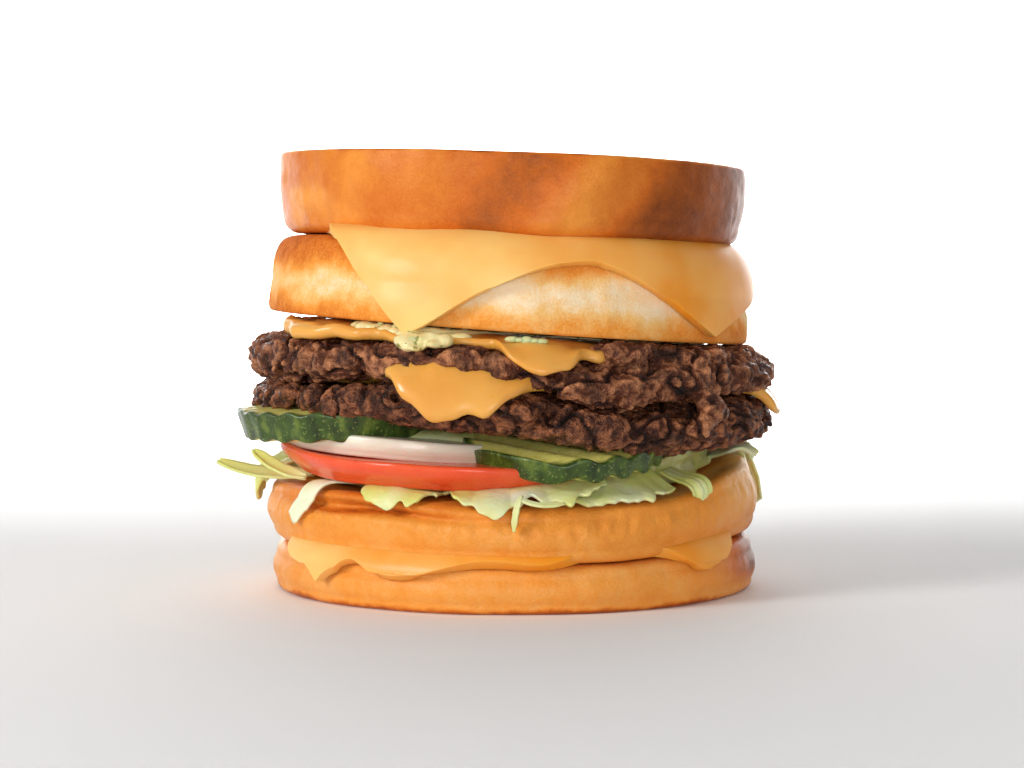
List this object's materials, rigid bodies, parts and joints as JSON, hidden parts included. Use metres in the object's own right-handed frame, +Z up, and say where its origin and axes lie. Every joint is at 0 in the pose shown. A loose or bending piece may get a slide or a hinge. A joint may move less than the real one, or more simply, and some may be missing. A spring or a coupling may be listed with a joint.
{
  "type": "double cheeseburger",
  "caption": "Tall double cheeseburger: patties, melted cheese, pickles, onion, tomato and lettuce between two grilled cheese sandwiches.",
  "frame": {"origin": "centre of the flat base, on the surface the burger stands on", "axes": "+Z up through the stack, -Y the front with the hanging cheese corner, +X the burger's right"},
  "size_m": [0.1238, 0.1169, 0.0943],
  "materials": {
    "toasted_crust": "golden-brown buttered crust, satin",
    "pale_crust": "pale cream bun side browned at its edges, dry",
    "cheese": "softened processed cheese, smooth and satin",
    "melted_cheese": "melted processed cheese, smooth and wet",
    "beef": "seared ground beef, craggy with wet glints",
    "sauce": "creamy dressing with chopped bits, wet",
    "pickle": "dark green skin and yellow-green flesh, wet",
    "onion": "white raw onion, moist",
    "tomato": "red-orange tomato, moist and shiny",
    "lettuce": "pale green lettuce with white ribs, thin and crisp"
  },
  "bodies": {
    "root": {"bun_slice_bottom": "toasted_crust", "cheese_slice_lower": "cheese", "bun_slice_lower_middle": "toasted_crust", "tomato_slice": "tomato", "onion_slice": "onion", "pickle_slice_left": "pickle", "pickle_slice_right": "pickle", "lettuce_heap": "lettuce", "lettuce_leaf_front": "lettuce", "lettuce_leaf_front_left": "lettuce", "lettuce_leaf_front_right": "lettuce", "lettuce_strip_left": "lettuce", "lettuce_shred_right": "lettuce", "lettuce_shred_far_left": "lettuce", "lettuce_shred_near_left": "lettuce", "patty_lower": "beef", "cheese_melted_lower": "melted_cheese", "patty_upper": "beef", "cheese_melted_upper": "melted_cheese", "sauce_spread": "sauce", "bun_slice_upper_middle": "pale_crust", "cheese_slice_upper": "cheese", "bun_slice_top": "toasted_crust"}
  },
  "joints": []
}
